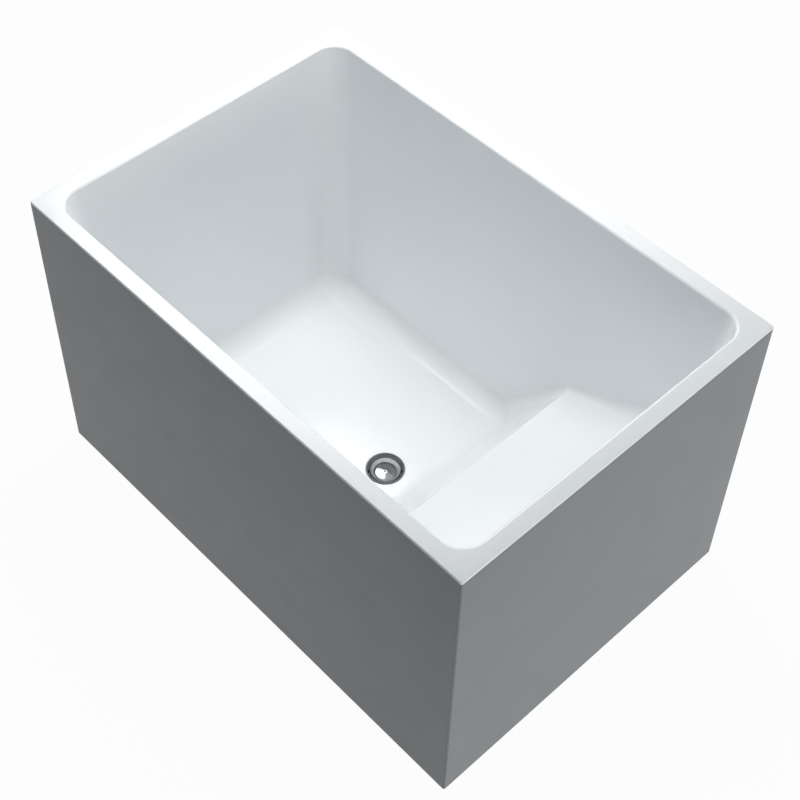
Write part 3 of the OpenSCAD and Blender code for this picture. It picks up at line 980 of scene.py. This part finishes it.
def make_stud(end, side):
    """Threaded stud with chamfered ends."""
    node = f"foot_stud_{end}_{side}"
    low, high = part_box(node)
    tip, root, crest = 0.0034, 0.0043, 0.005
    chamfer = 0.0009
    outline = [(0, low.z), (tip, low.z)]
    outline += thread(root, crest, low.z + chamfer, high.z - chamfer, FOOT_PITCH)
    outline += [(tip, high.z), (0, high.z)]
    stud = turned(f"stud_{end}_{side}", outline, 32, closed=False)
    smooth(stud, 25)
    set_at(stud, node)
    finish_piece(stud, node, "zinc_steel", node)


def make_pad(end, side):
    """Foot with a rounded disc, a neck for the stud and rings underneath against slipping."""
    node = f"foot_pad_{end}_{side}"
    low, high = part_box(node)
    edge = (high.x - low.x) / 2
    top = high.z
    outline = [
        # The socket for the stud
        (0, 0.004), (STUD_BORE, 0.004), (STUD_BORE, top - 0.0005), (0.0055, top),
        # The neck and its hollow
        (0.0083, top), (0.0088, top - 0.0002), (0.009, top - 0.0007), (0.009, 0.0068),
        (0.0093, 0.0059), (0.0099, 0.0054), (0.0108, 0.0052),
        # The disc and its rounded edge
        (0.0180, 0.0050), (0.0190, 0.0047), (0.0197, 0.0040),
        (edge, 0.0031), (edge, 0.0010), (edge - 0.0004, 0.0003), (edge - 0.0011, 0),
    ]
    groove = 0.0006
    for ring in (0.0165, 0.0135, 0.0105, 0.0075):
        outline += [
            (ring + groove, 0), (ring + 0.0004, groove), (ring - 0.0004, groove), (ring - groove, 0),
        ]
    outline.append((0, 0))
    pad = turned(f"pad_{end}_{side}", outline, 64, closed=False)
    smooth(pad, 30)
    set_at(pad, node)
    finish_piece(pad, node, "foot_plastic", node)


# Seals, nuts and pipe of the waste

# Bores of the loose rings on the flange's tail, of its nuts, and of the outlet
TAIL_RING_BORE = 0.0235
TAIL_NUT_BORE = 0.02305
OUTLET_SEAL_BORE = 0.0175
PIPE_BORE = 0.017
PIPE = 0.020
BACK_NUT_FLATS = 0.062
UNION_NUT_FLATS = 0.052


def make_ring(name, node, body, slot, bore, soften=0.0004):
    """Flat ring with softened edges, as wide and high as its CAD node."""
    low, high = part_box(node)
    outline = [(bore, low.z), (high.x, low.z), (high.x, high.z), (bore, high.z)]
    ring = turned(name, fillet(outline, [soften] * 4, 3))
    smooth(ring, 30)
    finish_piece(ring, body, slot, node)


def make_waste():
    """Seals, washer, nuts and outlet pipe under the flange."""
    make_ring("top_gasket", "waste_top_seal", "bath", "rubber", WASTE_HOLE)
    make_ring("under_gasket", "waste_under_seal", "bath", "rubber", TAIL_RING_BORE, 0.0006)
    make_ring("slip_washer", "waste_washer", "bath", "pipe_plastic", TAIL_RING_BORE, 0.0003)
    make_ring("outlet_gasket", "outlet_seal", "bath", "rubber", OUTLET_SEAL_BORE, 0.0003)
    low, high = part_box("waste_back_nut")
    inside = chamfered_bore(TAIL_NUT_BORE, low.z, high.z)
    nut = hex_nut("back_nut", low.z, high.z, BACK_NUT_FLATS, inside)
    smooth(nut, 30)
    finish_piece(nut, "bath", "pipe_plastic", "waste_back_nut")
    low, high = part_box("outlet_nut")
    # The nut's lip holds the pipe's flared end
    lip = low.z + 0.003
    lip_bore = 0.0203
    inside = chamfered_bore(TAIL_NUT_BORE, low.z, high.z)[:2]
    inside += [(TAIL_NUT_BORE, lip), (lip_bore, lip), (lip_bore, low.z)]
    nut = hex_nut("union_nut", low.z, high.z, UNION_NUT_FLATS, inside)
    smooth(nut, 30)
    finish_piece(nut, "bath", "pipe_plastic", "outlet_nut")
    low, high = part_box("outlet_pipe")
    step_z = 0.024
    neck = 0.0196
    outline = [
        (PIPE_BORE, low.z), (PIPE, low.z), (PIPE, step_z), (neck, step_z),
        (neck, lip), (high.x, lip), (high.x, high.z), (PIPE_BORE, high.z),
    ]
    radii = [0.0006, 0.0006, 0.0001, 0.0001, 0.0003, 0.0004, 0.0004, 0.0004]
    pipe = turned("outlet_tube", fillet(outline, radii, 3))
    smooth(pipe, 30)
    finish_piece(pipe, "bath", "pipe_plastic", "outlet_pipe")


def make_plug_stem():
    """Stem with a foot that stops it in its guide, and the seal under the cap."""
    low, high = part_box("plug_stem")
    neck = high.z - 0.002
    foot, rod, spigot = 0.006, 0.004, 0.00595
    outline = [
        (0, low.z), (foot - 0.0006, low.z), (foot, low.z + 0.0006), (foot, low.z + 0.0026),
        (0.0056, low.z + 0.003), (rod, low.z + 0.003), (rod, neck), (spigot, neck),
        (spigot, high.z), (0, high.z),
    ]
    stem = turned("plug_rod", outline, 48, closed=False)
    smooth(stem, 30)
    finish_piece(stem, "plug", "brass", "plug_stem")
    make_ring("plug_gasket", "plug_seal", "plug", "rubber", foot)


# Materials

def new_material(name, roughness, metallic=0.0):
    """Material with a Principled shader. Returns it with its node tree and the shader."""
    material = bpy.data.materials.new(name)
    material.use_nodes = True
    tree = material.node_tree
    shader = next(n for n in tree.nodes if n.type == "BSDF_PRINCIPLED")
    shader.inputs["Roughness"].default_value = roughness
    shader.inputs["Metallic"].default_value = metallic
    return material, tree, shader


def object_noise(tree, scale, detail=4.0, stretch=(1, 1, 1), distortion=0.0):
    """Noise on Object coordinates, stretched along the axes."""
    place = tree.nodes.new("ShaderNodeTexCoord")
    mapping = tree.nodes.new("ShaderNodeMapping")
    mapping.inputs["Scale"].default_value = stretch
    noise = tree.nodes.new("ShaderNodeTexNoise")
    noise.inputs["Scale"].default_value = scale
    noise.inputs["Detail"].default_value = detail
    noise.inputs["Distortion"].default_value = distortion
    tree.links.new(place.outputs["Object"], mapping.inputs["Vector"])
    tree.links.new(mapping.outputs["Vector"], noise.inputs["Vector"])
    return noise


def ramp(tree, source, stops):
    """Colour ramp from (position, colour) stops."""
    node = tree.nodes.new("ShaderNodeValToRGB")
    elements = node.color_ramp.elements
    while len(elements) < len(stops):
        elements.new(0.5)
    for element, (position, colour) in zip(elements, stops):
        element.position = position
        element.color = (*colour, 1)
    tree.links.new(source.outputs["Fac"], node.inputs["Fac"])
    return node


def roughen(tree, shader, source, low, high):
    """Roughness that follows a pattern."""
    spread = tree.nodes.new("ShaderNodeMapRange")
    spread.inputs["To Min"].default_value = low
    spread.inputs["To Max"].default_value = high
    tree.links.new(source.outputs["Fac"], spread.inputs["Value"])
    tree.links.new(spread.outputs["Result"], shader.inputs["Roughness"])


def bump(tree, shader, source, strength, distance):
    """Fine relief that follows a pattern."""
    node = tree.nodes.new("ShaderNodeBump")
    node.inputs["Strength"].default_value = strength
    node.inputs["Distance"].default_value = distance
    tree.links.new(source.outputs["Fac"], node.inputs["Height"])
    tree.links.new(node.outputs["Normal"], shader.inputs["Normal"])


def acrylic_white():
    """Glossy white acrylic, slightly uneven."""
    material, tree, shader = new_material("acrylic white", 0.2)
    cloud = object_noise(tree, 3.0)
    tone = ramp(tree, cloud, [(0.35, (0.845, 0.862, 0.870)), (0.65, (0.865, 0.880, 0.886))])
    tree.links.new(tone.outputs["Color"], shader.inputs["Base Color"])
    roughen(tree, shader, object_noise(tree, 9.0), 0.17, 0.24)
    bump(tree, shader, object_noise(tree, 60.0, 2.0), 0.006, 0.001)
    return material


def skirt_grey():
    """Grey satin lacquer with a fine texture."""
    material, tree, shader = new_material("skirt grey", 0.34)
    cloud = object_noise(tree, 2.2)
    tone = ramp(tree, cloud, [(0.3, (0.157, 0.168, 0.176)), (0.7, (0.163, 0.174, 0.182))])
    tree.links.new(tone.outputs["Color"], shader.inputs["Base Color"])
    roughen(tree, shader, object_noise(tree, 14.0), 0.30, 0.40)
    bump(tree, shader, object_noise(tree, 900.0, 2.0), 0.03, 0.0004)
    shader.inputs["Specular IOR Level"].default_value = 0.3
    return material


def chrome():
    """Polished chrome of the plug. Its colour is darkened as painted dark reflection, not the metal's
    own.
    """
    material, tree, shader = new_material("polished chrome", 0.08, 1.0)
    cloud = object_noise(tree, 40.0)
    # Painted dark reflection: the base colour is kept far darker than polished chrome is
    tone = ramp(tree, cloud, [(0.3, (0.25, 0.26, 0.265)), (0.7, (0.30, 0.31, 0.315))])
    tree.links.new(tone.outputs["Color"], shader.inputs["Base Color"])
    roughen(tree, shader, object_noise(tree, 120.0), 0.05, 0.12)
    return material


def waste_metal_painted_reflection():
    """Polished ring round a paler satin dish. The ring's dark colour is painted dark reflection, not
    the metal's own.
    """
    material, tree, shader = new_material("waste metal", 0.1, 1.0)
    place = tree.nodes.new("ShaderNodeTexCoord")
    level = tree.nodes.new("ShaderNodeVectorMath")
    level.operation = "MULTIPLY"
    level.inputs[1].default_value = (1, 1, 0)
    radius = tree.nodes.new("ShaderNodeVectorMath")
    radius.operation = "LENGTH"
    # 0 in the dish and 1 on the ring. It places the ring's painted dark reflection and its polish
    ringward = tree.nodes.new("ShaderNodeMapRange")
    ringward.inputs["From Min"].default_value = DISH
    ringward.inputs["From Max"].default_value = DISH + 0.0004
    tree.links.new(place.outputs["Object"], level.inputs[0])
    tree.links.new(level.outputs["Vector"], radius.inputs[0])
    tree.links.new(radius.outputs["Value"], ringward.inputs["Value"])
    cloud = object_noise(tree, 60.0)
    dish = ramp(tree, cloud, [(0.3, (0.44, 0.455, 0.46)), (0.7, (0.50, 0.515, 0.52))])
    # Painted dark reflection: the ring's colour is kept far darker than polished metal is
    ring = ramp(tree, cloud, [(0.3, (0.120, 0.128, 0.132)), (0.7, (0.150, 0.158, 0.162))])
    mix = tree.nodes.new("ShaderNodeMixRGB")
    tree.links.new(ringward.outputs["Result"], mix.inputs["Fac"])
    tree.links.new(dish.outputs["Color"], mix.inputs["Color1"])
    tree.links.new(ring.outputs["Color"], mix.inputs["Color2"])
    tree.links.new(mix.outputs["Color"], shader.inputs["Base Color"])
    gloss = tree.nodes.new("ShaderNodeMapRange")
    gloss.inputs["To Min"].default_value = 0.34
    gloss.inputs["To Max"].default_value = 0.10
    tree.links.new(ringward.outputs["Result"], gloss.inputs["Value"])
    tree.links.new(gloss.outputs["Result"], shader.inputs["Roughness"])
    return material


def brushed(name, dark, light, low, high, stretch):
    """Metal with a drawn or turned grain."""
    material, tree, shader = new_material(name, low, 1.0)
    grain = object_noise(tree, 180.0, 3.0, stretch)
    tone = ramp(tree, grain, [(0.3, dark), (0.7, light)])
    tree.links.new(tone.outputs["Color"], shader.inputs["Base Color"])
    roughen(tree, shader, grain, low, high)
    bump(tree, shader, grain, 0.08, 0.0003)
    return material


def painted_steel():
    """Black powder coat of the frame."""
    material, tree, shader = new_material("black frame paint", 0.45)
    cloud = object_noise(tree, 25.0, 6.0)
    tone = ramp(tree, cloud, [(0.35, (0.020, 0.021, 0.023)), (0.7, (0.034, 0.035, 0.038))])
    tree.links.new(tone.outputs["Color"], shader.inputs["Base Color"])
    roughen(tree, shader, cloud, 0.35, 0.60)
    bump(tree, shader, object_noise(tree, 500.0, 2.0), 0.10, 0.0004)
    return material


def wood(name, dark, light, ring_scale, stretch):
    """Sawn wood: rings stretched along the grain, with fine pores."""
    material, tree, shader = new_material(name, 0.62)
    rings = object_noise(tree, ring_scale, 5.0, stretch, 1.2)
    tone = ramp(tree, rings, [(0.30, dark), (0.48, light), (0.56, dark), (0.75, light)])
    tree.links.new(tone.outputs["Color"], shader.inputs["Base Color"])
    pores = object_noise(tree, ring_scale * 14, 3.0, stretch)
    roughen(tree, shader, pores, 0.50, 0.75)
    bump(tree, shader, pores, 0.25, 0.0006)
    return material


def plywood():
    """Birch plywood: a broad face grain, with the plies' dark lines across the height."""
    material, tree, shader = new_material("birch plywood", 0.6)
    grain = object_noise(tree, 6.0, 6.0, (1, 7, 7), 1.5)
    face = ramp(tree, grain, [(0.3, (0.47, 0.31, 0.17)), (0.7, (0.62, 0.45, 0.27))])
    place = tree.nodes.new("ShaderNodeTexCoord")
    plies = tree.nodes.new("ShaderNodeTexWave")
    plies.bands_direction = "Z"
    plies.inputs["Scale"].default_value = 110.0
    plies.inputs["Distortion"].default_value = 0.4
    tree.links.new(place.outputs["Object"], plies.inputs["Vector"])
    mix = tree.nodes.new("ShaderNodeMixRGB")
    mix.blend_type = "MULTIPLY"
    mix.inputs["Fac"].default_value = 0.25
    tree.links.new(face.outputs["Color"], mix.inputs["Color1"])
    tree.links.new(plies.outputs["Color"], mix.inputs["Color2"])
    tree.links.new(mix.outputs["Color"], shader.inputs["Base Color"])
    bump(tree, shader, grain, 0.15, 0.0005)
    return material


def rubber():
    """Black rubber of the seals."""
    material, tree, shader = new_material("black rubber", 0.75)
    speckle = object_noise(tree, 300.0, 3.0)
    tone = ramp(tree, speckle, [(0.3, (0.012, 0.012, 0.013)), (0.7, (0.022, 0.022, 0.023))])
    tree.links.new(tone.outputs["Color"], shader.inputs["Base Color"])
    roughen(tree, shader, speckle, 0.65, 0.85)
    bump(tree, shader, speckle, 0.2, 0.0003)
    return material


def moulded_plastic(name, dark, light, low, high):
    """Plastic with the fine grain of its mould."""
    material, tree, shader = new_material(name, low)
    cloud = object_noise(tree, 30.0, 3.0)
    tone = ramp(tree, cloud, [(0.3, dark), (0.7, light)])
    tree.links.new(tone.outputs["Color"], shader.inputs["Base Color"])
    roughen(tree, shader, cloud, low, high)
    bump(tree, shader, object_noise(tree, 700.0, 2.0), 0.08, 0.0003)
    return material


def paint(piece, material):
    piece.data.materials.clear()
    piece.data.materials.append(material)


# Camera, lights and floor

# The photograph's width and height, the middle of its perspective and its focal length, in pixels
IMAGE = 800
PRINCIPAL = (372.2, 321.2)
FOCAL = 1621.96
# The camera's direction in degrees, and its place along its own right, up and back
AZIMUTH, ELEVATION, ROLL = 46.59, 48.39, 0.53
CAMERA_PLACE = Vector((-0.0238, 0.3171, 3.0351))
SENSOR = 36.0
# Share of plain white in the floor that the camera sees. The rest takes the bath's shadow
FLOOR_WHITE = 0.965
FLOOR_RADIUS = 14
# Keeps the floor clear of the feet's undersides
FLOOR_DROP = 0.0005


def make_camera():
    azimuth, elevation, roll = (math.radians(a) for a in (AZIMUTH, ELEVATION, ROLL))
    back = Vector((
        math.sin(azimuth) * math.cos(elevation),
        -math.cos(azimuth) * math.cos(elevation),
        math.sin(elevation),
    ))
    right = Vector((0, 0, 1)).cross(back).normalized()
    up = back.cross(right)
    right, up = (
        right * math.cos(roll) + up * math.sin(roll),
        up * math.cos(roll) - right * math.sin(roll),
    )
    data = bpy.data.cameras.new("camera")
    data.sensor_width = SENSOR
    data.lens = FOCAL / IMAGE * SENSOR
    data.shift_x = (IMAGE / 2 - PRINCIPAL[0]) / IMAGE
    data.shift_y = (PRINCIPAL[1] - IMAGE / 2) / IMAGE
    camera = bpy.data.objects.new("camera", data)
    bpy.context.scene.collection.objects.link(camera)
    x, y, z = CAMERA_PLACE
    camera.location = right * x + up * y + back * z
    camera.rotation_mode = "QUATERNION"
    camera.rotation_quaternion = Matrix((right, up, back)).transposed().to_quaternion()
    bpy.context.scene.camera = camera


def area_light(name, place, target, size, power, mirrored=False):
    """Round lamp that lights surfaces, or one that only shows mirrored in them."""
    data = bpy.data.lights.new(name, "AREA")
    data.shape = "DISK"
    data.size = size
    data.energy = power
    light = bpy.data.objects.new(name, data)
    light.location = place
    light.rotation_mode = "QUATERNION"
    light.rotation_quaternion = (Vector(target) - Vector(place)).to_track_quat("-Z", "Y")
    light.visible_glossy = mirrored
    light.visible_diffuse = not mirrored
    bpy.context.scene.collection.objects.link(light)


def make_lights():
    """Soft lamps above, to the right and behind, and a pale world that looks plain white."""
    area_light("overhead", (-0.35, 0.35, 1.70), (-0.2, 0.0, 0.1), 0.8, 14.7)
    area_light("high_overhead", (-0.50, 0.30, 2.20), (-0.1, 0.0, 0.3), 1.0, 4.5)
    area_light("right_low", (4.0, 0.0, 0.25), (0.5, 0.0, 0.3), 1.6, 90.0)
    area_light("back_low", (-3.4, 3.0, 0.4), (-0.3, 0.2, 0.3), 1.6, 60.0)
    # Shows only as a soft reflection, in the rim and the chrome
    area_light("window", (-1.10, 0.72, 1.75), (0.0, 0.0, 0.4), 1.25, 15.5, True)
    world = bpy.data.worlds.new("studio")
    world.use_nodes = True
    bpy.context.scene.world = world
    tree = world.node_tree
    background = tree.nodes["Background"]
    background.inputs["Color"].default_value = (0.80, 0.92, 1.0, 1)
    background.inputs["Strength"].default_value = 0.2
    white = tree.nodes.new("ShaderNodeBackground")
    white.inputs["Color"].default_value = (1, 1, 1, 1)
    white.inputs["Strength"].default_value = 1.0
    mix = tree.nodes.new("ShaderNodeMixShader")
    tree.links.new(seen_directly(tree).outputs["Value"], mix.inputs["Fac"])
    tree.links.new(background.outputs["Background"], mix.inputs[1])
    tree.links.new(white.outputs["Background"], mix.inputs[2])
    tree.links.new(mix.outputs["Shader"], tree.nodes["World Output"].inputs["Surface"])


def seen_directly(tree):
    """1 for camera, glossy and transmission rays, which then see plain white."""
    path = tree.nodes.new("ShaderNodeLightPath")
    either = tree.nodes.new("ShaderNodeMath")
    either.operation = "MAXIMUM"
    seen = tree.nodes.new("ShaderNodeMath")
    seen.operation = "MAXIMUM"
    tree.links.new(path.outputs["Is Camera Ray"], either.inputs[0])
    tree.links.new(path.outputs["Is Glossy Ray"], either.inputs[1])
    tree.links.new(either.outputs["Value"], seen.inputs[0])
    tree.links.new(path.outputs["Is Transmission Ray"], seen.inputs[1])
    return seen


def make_floor():
    """Pale round floor that fades into the white world and keeps the bath's shadow."""
    clear_selection()
    bpy.ops.mesh.primitive_circle_add(
        vertices=96, radius=FLOOR_RADIUS, fill_type="NGON", location=(0, 0, -FLOOR_DROP),
    )
    floor = named("floor")
    settle(floor)
    material, tree, shader = new_material("pale floor", 0.8)
    shader.inputs["Base Color"].default_value = (0.90, 0.91, 0.92, 1)
    glow = tree.nodes.new("ShaderNodeEmission")
    glow.inputs["Strength"].default_value = 1.0
    share = tree.nodes.new("ShaderNodeMath")
    share.operation = "MULTIPLY"
    share.inputs[1].default_value = FLOOR_WHITE
    mix = tree.nodes.new("ShaderNodeMixShader")
    tree.links.new(seen_directly(tree).outputs["Value"], share.inputs[0])
    tree.links.new(share.outputs["Value"], mix.inputs["Fac"])
    tree.links.new(shader.outputs["BSDF"], mix.inputs[1])
    tree.links.new(glow.outputs["Emission"], mix.inputs[2])
    tree.links.new(mix.outputs["Shader"], tree.nodes["Material Output"].inputs["Surface"])
    paint(floor, material)


def dress_nodes(materials):
    """Gives every CAD node its finish, by the record's material slots."""
    for entry in frame["record"]["subparts"]:
        node = frame["nodes"][entry["node"]]
        paint(node, materials[entry["material_slot"]])


bpy.context.scene.view_settings.view_transform = "Standard"
make_camera()
make_lights()
make_floor()
MATERIALS = {
    "acrylic_white": acrylic_white(),
    "skirt_grey": skirt_grey(),
    "plywood": plywood(),
    "softwood": wood("pale softwood", (0.50, 0.33, 0.17), (0.66, 0.48, 0.28), 5.0, (1, 9, 9)),
    "frame_steel": painted_steel(),
    "zinc_steel": brushed(
        "zinc plate", (0.42, 0.43, 0.45), (0.56, 0.57, 0.58), 0.28, 0.42, (1, 1, 8),
    ),
    # The chrome's dark colour is painted dark reflection
    "chrome": chrome(),
    "brass": brushed(
        "turned brass", (0.50, 0.36, 0.14), (0.66, 0.50, 0.24), 0.22, 0.34, (1, 1, 12),
    ),
    "rubber": rubber(),
    "pipe_plastic": moulded_plastic(
        "pipe plastic", (0.68, 0.69, 0.68), (0.74, 0.75, 0.73), 0.35, 0.48,
    ),
    "foot_plastic": moulded_plastic(
        "foot plastic", (0.018, 0.018, 0.019), (0.030, 0.030, 0.032), 0.45, 0.6,
    ),
}
dress_nodes(MATERIALS)

finish_piece(make_tub(), "bath", "acrylic_white", "inner_tub")
finish_piece(make_skirt(), "bath", "skirt_grey", "outer_skirt")
flange = finish_piece(make_flange(), "bath", "chrome", "waste_flange")
# The flange's dark ring is painted dark reflection
paint(flange, waste_metal_painted_reflection())
finish_piece(make_plug_cap(), "plug", "chrome", "plug_cap")
make_battens()
make_board()
make_ribs()
make_frame()
make_brackets()
make_screws()
make_feet()
make_waste()
make_plug_stem()

clear_selection()
